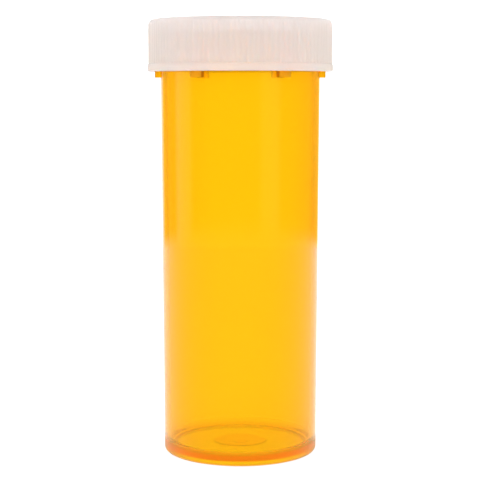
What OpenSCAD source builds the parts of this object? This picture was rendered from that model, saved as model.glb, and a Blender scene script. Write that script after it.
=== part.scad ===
// Push-down-and-turn prescription vial: a moulded amber vial, a milky cap, and the
// sealing disc that is snapped into the cap. The origin is the centre of the foot,
// +Z runs up the axis, and the cap is drawn pressed home at its unlocked angle.

/* [Vial] */
// Height of the vial from its foot to its rim
vial_h = 87; // [84:0.5:95]
// Outer radius of the vial at its foot
foot_r = 16; // [15.8:0.05:16.2]
// Outer radius of the vial at its rim
rim_r = 16.55; // [16.45:0.05:16.6]
// Thickness of the side wall
wall = 1.2; // [1.1:0.05:1.3]
// Height of the floor above what the vial stands on
floor_t = 1.8; // [1.6:0.1:2.2]
// Rounding of the outer edge of the foot
foot_round = 0.8; // [0.5:0.1:1]
// Rounding inside, where the wall meets the floor
inner_round = 1.8; // [1:0.1:2]
// Radius of the hollow under the floor
recess_r = 14.2; // [13:0.1:14.4]
// Depth of the hollow under the floor
recess_d = 0.8; // [0.5:0.05:0.9]
// Radius of the thicker pad in the middle of the floor
pad_r = 5.5; // [4:0.1:6]
// Height of that pad above the floor
pad_h = 0.1; // [0.1:0.05:0.5]

/* [Locking lugs] */
// Number of lugs round the vial, and round the inside of the cap
lug_count = 6; // [4:1:6]
// Outer radius of the vial's lugs
lug_r = 17.65; // [17.55:0.05:17.85]
// Depth of the stop legs below the rim
leg_drop = 8.85; // [8.8:0.05:9.2]
// Depth of the top of the lugs below the rim
ledge_drop = 3.8; // [3:0.1:4.2]
// Angle taken by a stop leg
leg_angle = 8.6; // [7:0.1:9]
// Angle taken by the notch that holds a cap lug
notch_angle = 13.2; // [12.6:0.1:14]
// Angle taken by the locking tooth beside the notch
tooth_angle = 4.9; // [4:0.1:5.5]
// Angle taken by a lug of the cap
cap_lug_angle = 11.2; // [10:0.1:11.5]
// Height of a lug of the cap
cap_lug_h = 1.4; // [1.2:0.05:1.4]
// Turn between the locked and the unlocked angle
turn = 28; // [26:0.5:30]

/* [Cap] */
// Radius of the cap over its ribs
cap_r = 19; // [18.95:0.05:19.2]
// Height of the cap above the rim of the vial
cap_rise = 3; // [3:0.1:3.4]
// Depth of the skirt below the rim of the vial
skirt_drop = 7.6; // [7.5:0.05:7.7]
// Inner radius of the skirt
skirt_in_r = 18; // [17.95:0.05:18.1]
// Thickness of the top panel at its rim
panel_t = 1.2; // [1:0.1:1.4]
// Rounding of the top edge
top_round = 0.9; // [0.6:0.1:1.1]
// Radius of the shallow hollow in the top
dish_r = 15.6; // [14.5:0.1:16]
// Depth of the shallow hollow in the top
dish_d = 0.4; // [0.35:0.05:0.5]
// Number of grip ribs
rib_count = 108; // [60:12:120]
// Height of the grip ribs above the wall between them
rib_d = 0.14; // [0.08:0.01:0.2]
// Radius of the bead at the foot of the skirt
bead_r = 19.15; // [19.1:0.05:19.3]
// Height of that bead
bead_h = 1.6; // [1.2:0.1:2]

/* [Sealing disc] */
// Outer radius of the disc
disc_r = 17.4; // [17.3:0.05:17.45]
// Thickness of the disc
disc_t = 0.8; // [0.7:0.05:0.8]
// Outer radius of the plug ring at its root
plug_r = 15.2; // [15:0.05:15.2]
// Thickness of the plug ring
plug_t = 0.7; // [0.5:0.05:0.9]
// Depth of the plug ring below the rim of the vial
plug_drop = 2.5; // [2:0.1:3]

/* [Hidden] */
$fn = 96;
gap = 0.1;                          // clearance between pieces that almost touch
lip_round = 0.5;                    // rounding of the rim of the vial
bite = 0.5;                         // how far a lug's root reaches into its wall
pitch = 360 / lug_count;
leg_z = vial_h - leg_drop;
ledge_z = vial_h - ledge_drop;
skirt_z = vial_h - skirt_drop;
cap_lug_z = skirt_z + cap_lug_h;    // top of a cap lug while the cap is pressed home
tooth_z = cap_lug_z + 0.15;         // a cap lug just passes under the tooth
spring_back = 0.95;                 // rise of the cap when its lugs enter the notches
notch_z = cap_lug_z + spring_back;
cap_lug_in_r = 16.9;
locked_at = (leg_angle + notch_angle) / 2;
pad_slope = 0.05;                   // width of the slope round the pad
recess_draft = 0.2;                 // how much the hollow widens to its mouth
gate_r = 1.6;                       // moulding gate under the floor
gate_h = 0.25;
cap_z = vial_h + cap_rise;
panel_z = cap_z - panel_t;
wall_r = cap_r - rib_d;             // skirt between the ribs
rib_top_z = cap_z - top_round - 0.45;
bead_round = 0.3;
snap_r = 17.15;                     // inner radius of the catches that hold the disc
snap_h = 0.6;
snap_angle = 22;
disc_z = vial_h + gap;
snap_z = disc_z - gap - snap_h;
web_rise = panel_z - gap - disc_t - disc_z;
web_out_r = 15.6;
web_in_r = 12.4;
plug_taper = 0.2;
arrow_r = 11.6;                     // middle radius of the turn arrows
arrow_w = 1.5;
arrow_sweep = 62;
arrow_head = 16;                    // angle taken by an arrow's head
arrow_h = 0.3;

// Points on an arc about centre, from one angle to another.
function arc(centre, r, from, to, steps = 6) =
    [for (i = [0:steps])
        let (a = from + (to - from) * i / steps)
        [centre[0] + r * cos(a), centre[1] + r * sin(a)]];

// Point at radius r and angle a.
function polar(r, a) = [r * cos(a), r * sin(a)];

// A block bent round the axis, from angle 0 to sweep.
module bent_block(r_in, r_out, z_low, z_high, sweep) {
    rotate_extrude(angle = sweep)
        translate([r_in, z_low])
            square([r_out - r_in, z_high - z_low]);
}

// Half outline of the vial without its lugs.
module vial_outline() {
    in_foot_r = foot_r - wall;
    in_rim_r = rim_r - wall;
    polygon(concat(
        [[0, recess_d - gate_h], [gate_r, recess_d - gate_h], [gate_r, recess_d]],
        [[recess_r, recess_d], [recess_r + recess_draft, 0]],
        arc([foot_r - foot_round, foot_round], foot_round, -90, 0),
        arc([rim_r - lip_round, vial_h - lip_round], lip_round, 0, 90),
        arc([in_rim_r + lip_round, vial_h - lip_round], lip_round, 90, 180),
        arc([in_foot_r - inner_round, floor_t + inner_round], inner_round, 0, -90),
        [[pad_r + pad_slope, floor_t], [pad_r, floor_t + pad_h], [0, floor_t + pad_h]]
    ));
}

// One lug of the vial, starting at angle 0: stop leg, notch, then locking tooth.
module vial_lug() {
    root_r = rim_r - bite;
    bent_block(root_r, lug_r, leg_z, ledge_z, leg_angle);
    rotate([0, 0, leg_angle])
        bent_block(root_r, lug_r, notch_z, ledge_z, notch_angle);
    rotate([0, 0, leg_angle + notch_angle])
        bent_block(root_r, lug_r, tooth_z, ledge_z, tooth_angle);
}

module vial() {
    color([0.98, 0.66, 0.08, 0.75])
    union() {
        rotate_extrude() vial_outline();
        for (i = [0:lug_count - 1])
            rotate([0, 0, i * pitch - leg_angle / 2]) vial_lug();
    }
}

// Flexible disc: a rim flange that lies on the vial, a dished web that springs the
// cap up, and a plug ring that enters the mouth.
module seal_disc() {
    color([0.95, 0.95, 0.93])
    rotate_extrude()
        polygon([
            [0, disc_z + web_rise],
            [web_in_r, disc_z + web_rise],
            [plug_r - plug_t, disc_z + web_rise / 4],
            [plug_r - plug_t - plug_taper, vial_h - plug_drop],
            [plug_r - plug_taper, vial_h - plug_drop],
            [plug_r, disc_z],
            [disc_r, disc_z],
            [disc_r, disc_z + disc_t],
            [web_out_r, disc_z + disc_t],
            [web_in_r, disc_z + web_rise + disc_t],
            [0, disc_z + web_rise + disc_t]
        ]);
}

// Half outline of the cap without its ribs, lugs and catches.
module cap_outline() {
    corner_r = 0.6;
    polygon(concat(
        [[skirt_in_r, skirt_z]],
        arc([bead_r - bead_round, skirt_z + bead_round], bead_round, -90, 0),
        [[bead_r, skirt_z + bead_h - 0.2], [wall_r, skirt_z + bead_h]],
        arc([wall_r - top_round, cap_z - top_round], top_round, 0, 90),
        [[dish_r + dish_d, cap_z], [dish_r, cap_z - dish_d], [0, cap_z - dish_d]],
        [[0, panel_z]],
        arc([skirt_in_r - corner_r, panel_z - corner_r], corner_r, 90, 0)
    ));
}

// Ring of fine upright ribs round the skirt.
module ribs() {
    step = 360 / rib_count;
    translate([0, 0, skirt_z + bead_h / 2])
        linear_extrude(rib_top_z - skirt_z - bead_h / 2)
            difference() {
                polygon([for (i = [0:rib_count - 1], k = [0:3])
                    polar(k == 1 || k == 2 ? cap_r : wall_r, (i + k / 4) * step)]);
                circle(r = wall_r - bite);
            }
}

// Raised curved arrow on the top, pointing anticlockwise, which is the way to open.
module turn_arrow() {
    head = arrow_sweep - arrow_head;
    low = cap_z - dish_d - gap;
    bent_block(arrow_r - arrow_w / 2, arrow_r + arrow_w / 2, low, low + gap + arrow_h, head);
    translate([0, 0, low])
        linear_extrude(gap + arrow_h)
            polygon([
                polar(arrow_r - arrow_w * 1.3, head),
                polar(arrow_r + arrow_w * 1.3, head),
                polar(arrow_r, arrow_sweep)
            ]);
}

module cap() {
    color([0.93, 0.92, 0.91, 0.8])
    union() {
        rotate_extrude() cap_outline();
        ribs();
        for (i = [0:lug_count - 1])
            rotate([0, 0, i * pitch + locked_at + turn - cap_lug_angle / 2]) {
                bent_block(cap_lug_in_r, skirt_in_r + bite, skirt_z, cap_lug_z, cap_lug_angle);
                rotate([0, 0, (cap_lug_angle - snap_angle) / 2])
                    bent_block(snap_r, skirt_in_r + bite, snap_z, snap_z + snap_h, snap_angle);
            }
        for (i = [0:2])
            rotate([0, 0, i * 120 + 14]) turn_arrow();
    }
}

vial();
seal_disc();
cap();
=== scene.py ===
"""Looks of a push-down-and-turn prescription vial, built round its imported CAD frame.

Lengths are in metres in the frame's own axes: +Z runs up the vial, and the front faces -Y.
"""
import math

import bmesh
import bpy
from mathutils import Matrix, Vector, geometry


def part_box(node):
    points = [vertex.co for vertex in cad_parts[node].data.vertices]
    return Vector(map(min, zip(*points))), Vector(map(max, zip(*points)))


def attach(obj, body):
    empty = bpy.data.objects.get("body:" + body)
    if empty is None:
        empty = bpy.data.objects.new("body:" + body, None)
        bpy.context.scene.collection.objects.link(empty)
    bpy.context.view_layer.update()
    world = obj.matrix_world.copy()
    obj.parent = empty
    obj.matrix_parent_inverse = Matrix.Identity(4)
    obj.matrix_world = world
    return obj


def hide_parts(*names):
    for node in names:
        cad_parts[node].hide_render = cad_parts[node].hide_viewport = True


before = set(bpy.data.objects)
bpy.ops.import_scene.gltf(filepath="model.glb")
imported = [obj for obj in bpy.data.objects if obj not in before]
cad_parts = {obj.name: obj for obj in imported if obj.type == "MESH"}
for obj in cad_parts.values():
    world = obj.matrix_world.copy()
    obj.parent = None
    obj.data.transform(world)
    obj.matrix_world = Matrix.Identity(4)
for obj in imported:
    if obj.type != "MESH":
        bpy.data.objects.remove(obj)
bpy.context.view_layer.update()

MM = 0.001

# Driving sizes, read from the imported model.
VIAL_LOW, VIAL_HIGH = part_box("vial")
DISC_LOW, DISC_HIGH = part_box("seal_disc")
CAP_LOW, CAP_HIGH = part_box("cap")
RIM_Z = VIAL_HIGH.z
LUG_R = VIAL_HIGH.x
CAP_TOP_Z = CAP_HIGH.z
SKIRT_Z = CAP_LOW.z
BEAD_R = CAP_HIGH.x
DISC_R = DISC_HIGH.x

# Vial wall, floor and foot.
FOOT_R = 16.0 * MM
MOUTH_R = 16.55 * MM                        # outer radius at the rim
WALL = 1.2 * MM
WALL_RINGS = (20 * MM, 40 * MM, 60 * MM)    # heights where the long wall is divided
FLOOR_T = 1.8 * MM                          # height of the floor
FOOT_ROUND = 0.8 * MM
INNER_ROUND = 1.8 * MM
LIP_ROUND = 0.5 * MM
RECESS_R = 14.2 * MM                        # hollow under the floor
RECESS_D = 0.8 * MM
RECESS_DRAFT = 0.2 * MM
RECESS_RINGS = (5 * MM, 9 * MM)             # radii where the underside is divided
PAD_R = 5.5 * MM                            # thicker middle of the floor
PAD_SLOPE = 0.05 * MM
PAD_H = 0.05 * MM
GATE_R = 1.6 * MM                           # moulding gate under the floor
GATE_H = 0.25 * MM
GATE_ROUND = 0.1 * MM

# Locking lugs of the vial and the cap. Angles are in degrees.
LUGS = 6
PITCH = 360 / LUGS
LEG_Z = RIM_Z - 8.85 * MM                   # lower end of a stop leg
LEDGE_Z = RIM_Z - 3.8 * MM                  # top of a vial lug
CAP_LUG_Z = SKIRT_Z + 1.4 * MM              # top of a cap lug
TOOTH_Z = CAP_LUG_Z + 0.15 * MM
NOTCH_Z = CAP_LUG_Z + 0.95 * MM
LEG_ANGLE = 8.6
NOTCH_ANGLE = 13.2
TOOTH_ANGLE = 4.9
VIAL_LUG_ROUND = 0.4 * MM                   # or as much as fits
CAP_LUG_ANGLE = 11.2
CAP_LUG_R = 16.9 * MM                       # inner end of a cap lug
TURN = 28                                   # from the locked to the unlocked angle
UNLOCKED_AT = (LEG_ANGLE + NOTCH_ANGLE) / 2 + TURN
SNAP_ANGLE = 22                             # catches that hold the disc
SNAP_R = 17.15 * MM
SNAP_Z = RIM_Z - 0.6 * MM

# Cap shell. The ribs run out under the rounded top edge, and are at full height lower down.
CAP_R = 19.0 * MM                           # over the ribs
SKIRT_R = 18.0 * MM                         # inside the skirt
PANEL_Z = CAP_TOP_Z - 1.2 * MM
TOP_ROUND = 0.9 * MM
CORNER = 0.6 * MM
BEAD_TOP_Z = SKIRT_Z + 1.6 * MM
BEAD_ROUND = 0.3 * MM
RIBS = 108
RIB_D = 0.14 * MM
RIB_STEEP = 2.2                             # above 2, a rib's crest is flat
RIB_TOP_Z = CAP_TOP_Z - TOP_ROUND * 0.6
RIB_RUN_OUT = 0.5 * MM
RIB_FULL_Z = RIB_TOP_Z - RIB_RUN_OUT - 0.4 * MM
RIB_LOW_Z = BEAD_TOP_Z + 0.1 * MM
DISH_R = 15.6 * MM                          # hollow in the top
DISH_D = 0.4 * MM
DISH_ROUND = 0.2 * MM
CAP_LUG_ROUND = 0.1 * MM                    # also of the catches and the arrows

# Turn arrows on the cap. Angles are in degrees.
ARROWS = 3
ARROW_R = 11.6 * MM
ARROW_W = 1.5 * MM
ARROW_H = 0.3 * MM
ARROW_START = 14
ARROW_SWEEP = 62
ARROW_HEAD = 16
HEAD_REACH = 1.3 * ARROW_W                  # of the head's corners from the middle line

# Sealing disc.
DISC_GAP = 0.1 * MM                         # clearance over the rim
DISC_T = 0.8 * MM
DISC_ROUND = 0.2 * MM
PLUG_R = 15.2 * MM
PLUG_T = 0.7 * MM
PLUG_TAPER = 0.2 * MM
WEB_IN_R = 12.4 * MM
WEB_OUT_R = 15.6 * MM
WEB_ROOT = 0.25                             # share of its rise that the web has at the plug

# Mesh.
SIDES = 216                                 # round a plain surface
RIB_SAMPLES = 8                             # points across one grip rib
ARROW_STEPS = 14
SHARP = math.radians(35)                    # steeper edges stay sharp
EDGE = 0.15 * MM                            # rounding of a small edge, and fade beside it
HAIR = 0.01 * MM                            # margin of a comparison
WELD = 0.0005 * MM                          # points closer than this become one

# Plastics. The amber one absorbs AMBER_DENSITY * (1 - AMBER) of each colour per metre.
POLYPROPYLENE_IOR = 1.49
POLYETHYLENE_IOR = 1.51
AMBER = (0.9998, 0.862, 0.0, 1)
AMBER_DENSITY = 2550
CLEAR_TINT = (1.0, 1.0, 0.02, 1)
PAD_TINT = (1.0, 0.7, 0.02, 1)
LUG_SATIN = 0.4                             # roughness that the lugs have more
SCUFF = 0.3                                 # roughness that the foot has more
SCUFF_TOP = 4.0 * MM
SCUFF_FADE = 1.5 * MM
GRAIN = 0.01 * MM                           # depth of a surface's fine unevenness

# Studio light. Elevations and polar angles are in degrees.
WHITE = 1.46                                # the walls
CEILING = 1.04
CEILING_LOW, CEILING_HIGH = 25, 60          # where the walls fade into it
GAP_LIGHT = (1.1, 0.8, 0.1, 1)
GAPS = [(20, 52), (142, 23), (247, 52)]     # polar angle and half width
GAP_SOFT = 6                                # half width of each soft side of a gap
GAP_LOW, GAP_HIGH, GAP_TOP = -6.5, 1, 3.5   # where a gap starts, begins to fade, and ends
GAP_EDGE = 0.007                            # half width of its soft lower edge, as a sine
BOUNCES = 100                               # light goes round inside the clear wall many times
DIFFUSE_BOUNCES = 16

# Floor.
FLOOR_R = 0.38
FLOOR_DROP = 0.02 * MM                      # clearance under the foot
FLOOR_WHITE = 0.5
FLOOR_GLOW = 0.74

# Camera. It looks down by TILT degrees.
EYE = (-0.05 * MM, -294.8 * MM, 75.97 * MM)
TILT = 6.12
SENSOR, LENS = 36, 106.1                    # in millimetres
CLIP_NEAR, CLIP_FAR = 0.01, 10


# Outlines and meshes.

def arc(centre, r, start, end, steps=8):
    """Outline points on an arc about centre, from one angle in degrees to another."""
    turned = [math.radians(start + (end - start) * i / steps) for i in range(steps + 1)]
    return [(centre[0] + r * math.cos(a), centre[1] + r * math.sin(a)) for a in turned]


def slope(low, high, steps=6):
    """Outline points on a slope that eases out of one level and into the other."""
    (r, z), (r2, z2) = low, high
    shares = [i / steps for i in range(steps + 1)]
    return [(r + (r2 - r) * t, z + (z2 - z) * t * t * (3 - 2 * t)) for t in shares]


def held(outline, edge=0.25 * MM, long=1.2 * MM):
    """The outline with a point close to each end of its long stretches.

    Smooth shading then stays near the corners and off the flats.
    """
    points = [outline[0]]
    for (r, z), (r2, z2) in zip(outline, outline[1:]):
        length = math.hypot(r2 - r, z2 - z)
        if length > long:
            for t in (edge / length, 1 - edge / length):
                points.append((r + (r2 - r) * t, z + (z2 - z) * t))
        points.append((r2, z2))
    return points


def even_angles(count, *marks):
    """count angles round the circle in radians, the nearest one moved onto each mark in degrees."""
    angles = [2 * math.pi * i / count for i in range(count)]
    for mark in marks:
        wanted = math.radians(mark % 360)
        angles[round(wanted / (2 * math.pi) * count) % count] = wanted
    return angles


def spin(bm, outline, angles, radius=lambda r, z, a: r):
    """Sweeps an outline of (r, z) points round the axis.

    Returns its rings of vertices and its rows of faces. A point on the axis becomes a single
    vertex. radius may change r with the height and the angle.
    """
    rings = []
    for r, z in outline:
        if r == 0:
            rings.append([bm.verts.new((0, 0, z))])
            continue
        places = [(radius(r, z, a), a) for a in angles]
        rings.append([bm.verts.new((q * math.cos(a), q * math.sin(a), z)) for q, a in places])
    rows = [join(bm, low, high) for low, high in zip(rings, rings[1:])]
    return rings, rows


def join(bm, one, two):
    """Faces between two rings. One may be a single vertex, or a whole number of times finer."""
    if len(one) < len(two):
        one, two = two, one
    count, ratio = len(one), len(one) // len(two)
    row = []
    for i in range(count):
        after = (i + 1) % count
        near, far = two[i // ratio], two[(after // ratio) % len(two)]
        corners = [one[i], one[after], far, near] if near is not far else [one[i], one[after], near]
        row.append(bm.faces.new(corners))
    return row


def cells(rows, angles, outline, start, sweep, low, high):
    """The faces of a swept wall between two angles in degrees and two heights."""
    begin, full = math.radians(start), 2 * math.pi
    found = []
    for row, (one, two) in zip(rows, zip(outline, outline[1:])):
        if not low < (one[1] + two[1]) / 2 < high:
            continue
        for i, face in enumerate(row):
            step = (angles[(i + 1) % len(angles)] - angles[i]) % full
            if (angles[i] + step / 2 - begin) % full < math.radians(sweep):
                found.append(face)
    return found


def lift_out(bm, faces, place):
    """Extrudes a patch of faces, and moves each new corner to place(co)."""
    made = bmesh.ops.extrude_face_region(bm, geom=faces)["geom"]
    bmesh.ops.delete(bm, geom=faces, context="FACES")
    for v in (g for g in made if isinstance(g, bmesh.types.BMVert)):
        v.co = place(v.co)
    return [g for g in made if isinstance(g, bmesh.types.BMFace)]


def to_radius(r):
    """A place() that moves a point straight in or out to radius r, at its own height."""
    return lambda co: Vector((co.x, co.y, 0)).normalized() * r + Vector((0, 0, co.z))


def soften(bm, faces, width):
    """Rounds the edges of raised patches, and the lines where they meet the wall."""
    patch = set(faces)
    edges = {e for f in patch for e in f.edges if any(g not in patch for g in e.link_faces)}
    roots = {e for f in patch for v in f.verts for e in v.link_edges
             if len(e.link_faces) == 2 and e.calc_face_angle(0) > SHARP}
    bmesh.ops.bevel(bm, geom=list(edges | roots), offset=width, segments=3, profile=0.5,
                    affect="EDGES", clamp_overlap=True)


def finished(bm, name, node, material):
    """Makes a shown piece that stands for a CAD node and rides on its body."""
    bmesh.ops.remove_doubles(bm, verts=bm.verts, dist=WELD)
    bmesh.ops.recalc_face_normals(bm, faces=bm.faces)
    mesh = bpy.data.meshes.new(name)
    bm.to_mesh(mesh)
    bm.free()
    mesh.shade_smooth()
    mesh.set_sharp_from_angle(angle=SHARP)
    piece = bpy.data.objects.new(name, mesh)
    bpy.context.scene.collection.objects.link(piece)
    piece.data.materials.append(material)
    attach(piece, node)
    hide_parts(node)
    return piece


# Vial.

def vial_outline():
    """Half outline of the tapered tube, from the middle of its underside to that of its floor."""
    in_foot_r, in_mouth_r = FOOT_R - WALL, MOUTH_R - WALL
    taper = (MOUTH_R - FOOT_R) / (RIM_Z - LIP_ROUND - FOOT_ROUND)
    levels = (*WALL_RINGS, LEG_Z, TOOTH_Z, NOTCH_Z, LEDGE_Z)
    gate_z = RECESS_D - GATE_H
    pad_z = FLOOR_T + PAD_H
    outline = [(0, gate_z)]
    outline += arc((GATE_R - GATE_ROUND, gate_z + GATE_ROUND), GATE_ROUND, -90, 0, 2)
    outline += [(r, RECESS_D) for r in (GATE_R, *RECESS_RINGS, RECESS_R)]
    outline += arc((RECESS_R + RECESS_DRAFT + EDGE, EDGE), EDGE, 180, 270, 3)
    outline += arc((FOOT_R - FOOT_ROUND, FOOT_ROUND), FOOT_ROUND, -90, 0)
    outline += [(FOOT_R + (z - FOOT_ROUND) * taper, z) for z in levels]
    outline += arc((MOUTH_R - LIP_ROUND, RIM_Z - LIP_ROUND), LIP_ROUND, 0, 90)
    outline += arc((in_mouth_r + LIP_ROUND, RIM_Z - LIP_ROUND), LIP_ROUND, 90, 180)
    outline += arc((in_foot_r - INNER_ROUND, FLOOR_T + INNER_ROUND), INNER_ROUND, 0, -90)
    outline += slope((PAD_R + PAD_SLOPE, FLOOR_T), (PAD_R, pad_z))
    outline += [(0, pad_z)]
    return held(outline)


def vial_piece(material):
    """The amber moulding: the tube, and six lugs raised from its neck."""
    outline = vial_outline()
    starts = [i * PITCH - LEG_ANGLE / 2 for i in range(LUGS)]
    notch, tooth = LEG_ANGLE, LEG_ANGLE + NOTCH_ANGLE
    marks = [s + offset for s in starts for offset in (0, notch, tooth, tooth + TOOTH_ANGLE)]
    angles = even_angles(SIDES, *marks)
    bm = bmesh.new()
    _, rows = spin(bm, outline, angles)
    outer = [row if r > FOOT_R - HAIR else [] for row, (r, _) in zip(rows, outline)]
    patch = []
    for start in starts:
        patch += cells(outer, angles, outline, start, LEG_ANGLE, LEG_Z, LEDGE_Z)
        patch += cells(outer, angles, outline, start + notch, NOTCH_ANGLE, NOTCH_Z, LEDGE_Z)
        patch += cells(outer, angles, outline, start + tooth, TOOTH_ANGLE, TOOTH_Z, LEDGE_Z)
    raised = lift_out(bm, patch, to_radius(LUG_R))
    soften(bm, raised, VIAL_LUG_ROUND)
    return finished(bm, "amber_vial", "vial", material)


# Sealing disc.

def disc_piece(material):
    """The soft disc in the cap: rim flange, dished web and plug ring."""
    low, top = DISC_HIGH.z - DISC_T, DISC_HIGH.z
    flange_z = RIM_Z + DISC_GAP
    flange_top = flange_z + DISC_T
    flange_r = DISC_R - DISC_ROUND
    tip_r = PLUG_R - PLUG_TAPER
    tip_z = DISC_LOW.z + DISC_ROUND
    outline = [(0, low), (WEB_IN_R, low)]
    outline += [(PLUG_R - PLUG_T, flange_z + WEB_ROOT * (low - flange_z))]
    outline += arc((tip_r - PLUG_T + DISC_ROUND, tip_z), DISC_ROUND, 180, 270, 4)
    outline += arc((tip_r - DISC_ROUND, tip_z), DISC_ROUND, 270, 360, 4)
    outline += [(PLUG_R, flange_z)]
    outline += arc((flange_r, flange_z + DISC_ROUND), DISC_ROUND, -90, 0, 4)
    outline += arc((flange_r, flange_top - DISC_ROUND), DISC_ROUND, 0, 90, 4)
    outline += [(WEB_OUT_R, flange_top), (WEB_IN_R, top), (0, top)]
    bm = bmesh.new()
    spin(bm, held(outline), even_angles(SIDES))
    return finished(bm, "sealing_disc", "seal_disc", material)


# Cap.

def rib_reach(r, z, a):
    """Radius of the skirt at a height and angle: r, and up to RIB_D more on the ribs."""
    if z <= BEAD_TOP_Z:
        return r
    phase = (a * RIBS / (2 * math.pi)) % 1
    crest = min(1.0, RIB_STEEP * (0.5 - abs(phase - 0.5)))
    fade = min(1.0, max(0.0, (RIB_TOP_Z - z) / RIB_RUN_OUT))
    return r + RIB_D * crest * fade


def cap_outside():
    """Half outline from the edge of the top, down the skirt and round the bead."""
    wall_r = CAP_R - RIB_D
    round_r = BEAD_R - BEAD_ROUND
    outline = arc((wall_r - TOP_ROUND, CAP_TOP_Z - TOP_ROUND), TOP_ROUND, 90, 0)
    outline += [(wall_r, RIB_FULL_Z), (wall_r, RIB_LOW_Z)]
    outline += arc((round_r, BEAD_TOP_Z - BEAD_ROUND), BEAD_ROUND, 75, 0, 3)
    outline += arc((round_r, SKIRT_Z + BEAD_ROUND), BEAD_ROUND, 0, -90, 4)
    return held(outline)


def cap_inside():
    """Half outline from the mouth of the skirt up to the middle of the top panel."""
    outline = arc((SKIRT_R + EDGE, SKIRT_Z + EDGE), EDGE, 270, 180, 3)
    outline += [(SKIRT_R, z) for z in (CAP_LUG_Z, SNAP_Z, RIM_Z)]
    outline += arc((SKIRT_R - CORNER, PANEL_Z - CORNER), CORNER, 0, 90, 5)
    outline += [(0, PANEL_Z)]
    return held(outline)


def dish_wall(dish_z):
    """Half outline of the wall of the hollow in the top."""
    outline = arc((DISH_R + DISH_D, CAP_TOP_Z - EDGE), EDGE, 90, 135, 2)
    outline += arc((DISH_R, dish_z + DISH_ROUND), DISH_ROUND, -45, -90, 2)
    return outline


def arrow_outline(start):
    """Corners of one turn arrow, anticlockwise, with its head at the far end."""
    head = start + ARROW_SWEEP - ARROW_HEAD
    inner, outer = ARROW_R - ARROW_W / 2, ARROW_R + ARROW_W / 2
    steps = range(ARROW_STEPS + 1)
    shaft = [math.radians(start + (head - start) * i / ARROW_STEPS) for i in steps]
    points = [(outer, a) for a in shaft]
    points += [(ARROW_R + HEAD_REACH, shaft[-1]), (ARROW_R, math.radians(start + ARROW_SWEEP))]
    points += [(ARROW_R - HEAD_REACH, shaft[-1])]
    points += [(inner, a) for a in reversed(shaft)]
    return [Vector((r * math.cos(a), r * math.sin(a))) for r, a in points]


def dish_floor(bm, ring, z):
    """Fills the hollow in the cap's top, and returns the faces inside the turn arrows."""
    points = [v.co.xy for v in ring]
    loops = [list(range(len(ring)))]
    for i in range(ARROWS):
        arrow = arrow_outline(ARROW_START + i * 360 / ARROWS)
        loops.append(list(range(len(points), len(points) + len(arrow))))
        points += arrow
    inside_only, tolerance = 1, 1e-9
    places, _, triangles, sources, _, owners = geometry.delaunay_2d_cdt(
        points, [], loops, inside_only, tolerance)
    verts = [ring[i[0]] if i and i[0] < len(ring) else bm.verts.new((co.x, co.y, z))
             for co, i in zip(places, sources)]
    patch = []
    for corners, loop_ids in zip(triangles, owners):
        face = bm.faces.new([verts[c] for c in corners])
        if any(i > 0 for i in loop_ids):
            patch.append(face)
    return patch


def cap_piece(material):
    """The milky moulding: ribbed skirt, bead, hollow top with arrows, inner lugs and catches."""
    centres = [i * PITCH + UNLOCKED_AT for i in range(LUGS)]
    widths = (CAP_LUG_ANGLE, SNAP_ANGLE)
    marks = [c + side * width / 2 for c in centres for width in widths for side in (-1, 1)]
    angles = even_angles(SIDES, *marks)
    inside = cap_inside()
    dish_z = CAP_TOP_Z - DISH_D

    bm = bmesh.new()
    outer_rings, _ = spin(bm, cap_outside(), even_angles(RIBS * RIB_SAMPLES), rib_reach)
    inner_rings, rows = spin(bm, inside, angles)
    join(bm, outer_rings[-1], inner_rings[0])
    top_rings, _ = spin(bm, dish_wall(dish_z), angles)
    join(bm, outer_rings[0], top_rings[0])
    arrows = dish_floor(bm, top_rings[-1], dish_z)

    def inner_patch(width, low, high):
        return [face for c in centres
                for face in cells(rows, angles, inside, c - width / 2, width, low, high)]

    lugs = inner_patch(CAP_LUG_ANGLE, SKIRT_Z + EDGE + HAIR, CAP_LUG_Z)
    catches = inner_patch(SNAP_ANGLE, SNAP_Z, RIM_Z)
    raised = lift_out(bm, lugs, to_radius(CAP_LUG_R))
    raised += lift_out(bm, catches, to_radius(SNAP_R))
    raised += lift_out(bm, arrows, lambda co: co + Vector((0, 0, ARROW_H)))
    soften(bm, raised, CAP_LUG_ROUND)
    return finished(bm, "milky_cap", "cap", material)


# Materials.

def grey(level):
    """A neutral colour."""
    return (level, level, level, 1)


def new_material(name):
    """A material, its node tree, its Principled shader and its output."""
    material = bpy.data.materials.new(name)
    material.use_nodes = True
    tree = material.node_tree
    tree.nodes.clear()
    out = tree.nodes.new("ShaderNodeOutputMaterial")
    shader = tree.nodes.new("ShaderNodeBsdfPrincipled")
    tree.links.new(shader.outputs["BSDF"], out.inputs["Surface"])
    return material, tree, shader, out


def noise(tree, scale, stretch=(1, 1, 1)):
    """A noise texture, with scale as its fineness per metre, stretched along each axis."""
    place = tree.nodes.new("ShaderNodeTexCoord")
    fit = tree.nodes.new("ShaderNodeMapping")
    fit.inputs["Scale"].default_value = [scale / s for s in stretch]
    pattern = tree.nodes.new("ShaderNodeTexNoise")
    pattern.inputs["Scale"].default_value = 1
    pattern.inputs["Detail"].default_value = 3
    tree.links.new(place.outputs["Object"], fit.inputs["Vector"])
    tree.links.new(fit.outputs["Vector"], pattern.inputs["Vector"])
    return pattern.outputs["Fac"]


def spread(tree, value, low, high):
    """value from 0 to 1, mapped from low to high."""
    span = tree.nodes.new("ShaderNodeMapRange")
    span.inputs["To Min"].default_value = low
    span.inputs["To Max"].default_value = high
    tree.links.new(value, span.inputs["Value"])
    return span.outputs["Result"]


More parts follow.
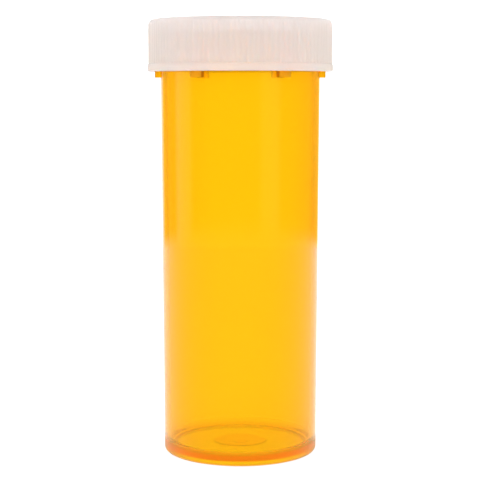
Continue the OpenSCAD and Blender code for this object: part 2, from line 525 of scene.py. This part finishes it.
def ramp(tree, value, start, end):
    """A smooth step from 0 at start to 1 at end."""
    step = tree.nodes.new("ShaderNodeMapRange")
    step.interpolation_type = "SMOOTHSTEP"
    step.inputs["From Min"].default_value = start
    step.inputs["From Max"].default_value = end
    tree.links.new(value, step.inputs["Value"])
    return step.outputs["Result"]


def maths(tree, operation, *values):
    """A Math node on numbers or sockets."""
    node = tree.nodes.new("ShaderNodeMath")
    node.operation = operation
    for socket, value in zip(node.inputs, values):
        if isinstance(value, (int, float)):
            socket.default_value = value
        else:
            tree.links.new(value, socket)
    return node.outputs["Value"]


def mixed(tree, share, one, two):
    """Colour one where share is 0, and two where it is 1. Either may be a colour or a socket."""
    mix = tree.nodes.new("ShaderNodeMix")
    mix.data_type = "RGBA"
    tree.links.new(share, mix.inputs["Factor"])
    for name, colour in (("A", one), ("B", two)):
        if isinstance(colour, tuple):
            mix.inputs[name].default_value = colour
        else:
            tree.links.new(colour, mix.inputs[name])
    return mix.outputs["Result"]


def axes(tree, kind):
    """The X, Y and Z of a texture coordinate."""
    place = tree.nodes.new("ShaderNodeTexCoord")
    split = tree.nodes.new("ShaderNodeSeparateXYZ")
    tree.links.new(place.outputs[kind], split.inputs["Vector"])
    return [split.outputs[axis] for axis in "XYZ"]


def bump(tree, height, shader, distance):
    """Bends a shader's normal by a height pattern of the given depth."""
    node = tree.nodes.new("ShaderNodeBump")
    node.inputs["Strength"].default_value = 1
    node.inputs["Distance"].default_value = distance
    tree.links.new(height, node.inputs["Height"])
    tree.links.new(node.outputs["Normal"], shader.inputs["Normal"])


def vial_zones(tree):
    """How far, from 0 to 1, a point is outside on the foot, within the pad, and on the lugs."""
    x, y, z = axes(tree, "Object")
    squares = maths(tree, "ADD", maths(tree, "MULTIPLY", x, x), maths(tree, "MULTIPLY", y, y))
    across = maths(tree, "SQRT", squares)
    outside = ramp(tree, across, FOOT_R - FOOT_ROUND, FOOT_R - WALL / 2)
    foot = maths(tree, "MULTIPLY", outside, ramp(tree, z, SCUFF_TOP, SCUFF_TOP - SCUFF_FADE))
    pad = ramp(tree, across, PAD_R + PAD_SLOPE, PAD_R)
    lugs = ramp(tree, across, MOUTH_R, MOUTH_R + EDGE)
    return foot, pad, lugs


def amber_plastic():
    """Clear amber polypropylene, whose colour deepens where light passes through more of it.

    The outside of the foot is scuffed, the lugs are satin, and the floor is deeper in tint
    at its pad.
    """
    material, tree, shader, out = new_material("amber_polypropylene")
    foot, pad, lugs = vial_zones(tree)
    tree.links.new(mixed(tree, pad, CLEAR_TINT, PAD_TINT), shader.inputs["Base Color"])
    shader.inputs["Transmission Weight"].default_value = 0.85
    shader.inputs["IOR"].default_value = POLYPROPYLENE_IOR
    shader.inputs["Specular Tint"].default_value = (1, 0.75, 0.1, 1)
    polish = spread(tree, noise(tree, 120, (1, 1, 4)), 0.03, 0.07)
    satin = maths(tree, "MULTIPLY_ADD", lugs, LUG_SATIN, polish)
    tree.links.new(maths(tree, "MULTIPLY_ADD", foot, SCUFF, satin), shader.inputs["Roughness"])
    bump(tree, noise(tree, 160, (1, 1, 9)), shader, GRAIN)
    absorb = tree.nodes.new("ShaderNodeVolumeAbsorption")
    absorb.inputs["Color"].default_value = AMBER
    absorb.inputs["Density"].default_value = AMBER_DENSITY
    tree.links.new(absorb.outputs["Volume"], out.inputs["Volume"])
    return material


def milky_plastic():
    """Natural polypropylene: milky, satin, and faintly see-through where it is thin."""
    material, tree, shader, _ = new_material("milky_polypropylene")
    # The milky off-white is the plastic's own colour. The pink tint is painted warm light from the
    # amber neck inside the cap.
    shader.inputs["Base Color"].default_value = (1.0, 0.887, 0.877, 1)
    shader.inputs["Transmission Weight"].default_value = 0.54
    shader.inputs["Subsurface Weight"].default_value = 1
    shader.inputs["Subsurface Radius"].default_value = (1, 0.9, 0.85)
    shader.inputs["Subsurface Scale"].default_value = 1.5 * MM
    shader.inputs["IOR"].default_value = POLYPROPYLENE_IOR
    tree.links.new(spread(tree, noise(tree, 900), 0.4, 0.52), shader.inputs["Roughness"])
    bump(tree, noise(tree, 1400), shader, GRAIN)
    return material


def waxy_plastic():
    """Soft natural polyethylene: matt and slightly waxy."""
    material, tree, shader, _ = new_material("natural_polyethylene")
    shader.inputs["Base Color"].default_value = (0.98, 0.98, 0.96, 1)
    shader.inputs["Transmission Weight"].default_value = 0.5
    shader.inputs["IOR"].default_value = POLYETHYLENE_IOR
    tree.links.new(spread(tree, noise(tree, 700), 0.5, 0.62), shader.inputs["Roughness"])
    bump(tree, noise(tree, 1200), shader, GRAIN)
    return material


def floor_paint():
    """Matt and pale, with a glow of its own that keeps the floor white."""
    material, _, shader, _ = new_material("pale_floor")
    shader.inputs["Base Color"].default_value = grey(FLOOR_WHITE)
    shader.inputs["Roughness"].default_value = 0.9
    shader.inputs["Specular IOR Level"].default_value = 0
    shader.inputs["Emission Color"].default_value = grey(1)
    shader.inputs["Emission Strength"].default_value = FLOOR_GLOW
    return material


# Studio and camera.

def view_direction(tree):
    """Which way a ray leaves the scene: its polar angle, and the sine of its elevation."""
    x, y, z = axes(tree, "Generated")
    return maths(tree, "ARCTAN2", y, x), z


def side_gaps(tree, turn, height):
    """1 in the dim stretches between the studio's walls, near the horizon, and 0 elsewhere."""
    gaps = []
    for centre, half in GAPS:
        off = maths(tree, "PINGPONG", maths(tree, "SUBTRACT", turn, math.radians(centre)), math.pi)
        gaps.append(ramp(tree, off, math.radians(half + GAP_SOFT), math.radians(half - GAP_SOFT)))
    total = gaps[0]
    for gap in gaps[1:]:
        total = maths(tree, "MAXIMUM", total, gap)
    low, high, top = (math.sin(math.radians(a)) for a in (GAP_LOW, GAP_HIGH, GAP_TOP))
    total = maths(tree, "MULTIPLY", total, ramp(tree, height, low - GAP_EDGE, low + GAP_EDGE))
    return maths(tree, "MULTIPLY", total, ramp(tree, height, top, high))


def studio_world():
    """Soft light from all round: white walls with dim warm gaps, and a dimmer ceiling."""
    world = bpy.data.worlds.new("studio")
    world.use_nodes = True
    tree = world.node_tree
    turn, height = view_direction(tree)
    low, high = (math.sin(math.radians(a)) for a in (CEILING_LOW, CEILING_HIGH))
    white = mixed(tree, ramp(tree, height, low, high), grey(WHITE), grey(CEILING))
    light = mixed(tree, side_gaps(tree, turn, height), white, GAP_LIGHT)
    tree.links.new(light, tree.nodes["Background"].inputs["Color"])
    bpy.context.scene.world = world


def pale_floor():
    """A plain round floor just under the vial's foot."""
    bm = bmesh.new()
    bmesh.ops.create_circle(bm, cap_ends=True, segments=96, radius=FLOOR_R)
    mesh = bpy.data.meshes.new("floor")
    bm.to_mesh(mesh)
    bm.free()
    floor = bpy.data.objects.new("floor", mesh)
    floor.location.z = VIAL_LOW.z - FLOOR_DROP
    bpy.context.scene.collection.objects.link(floor)
    floor.data.materials.append(floor_paint())


def studio():
    """The world, the floor, plain colours, and enough bounces for light in clear plastic."""
    studio_world()
    pale_floor()
    bpy.context.scene.view_settings.view_transform = "Standard"
    cycles = bpy.context.scene.cycles
    cycles.max_bounces = cycles.transmission_bounces = cycles.glossy_bounces = BOUNCES
    cycles.diffuse_bounces = DIFFUSE_BOUNCES


def camera():
    """The camera in front of the vial, a little below its cap, tilted down."""
    data = bpy.data.cameras.new("camera")
    data.sensor_width = SENSOR
    data.lens = LENS
    data.clip_start = CLIP_NEAR
    data.clip_end = CLIP_FAR
    eye = bpy.data.objects.new("camera", data)
    eye.location = EYE
    eye.rotation_euler = (math.radians(90 - TILT), 0, 0)
    bpy.context.scene.collection.objects.link(eye)
    bpy.context.scene.camera = eye


camera()
studio()
vial_piece(amber_plastic())
disc_piece(waxy_plastic())
cap_piece(milky_plastic())
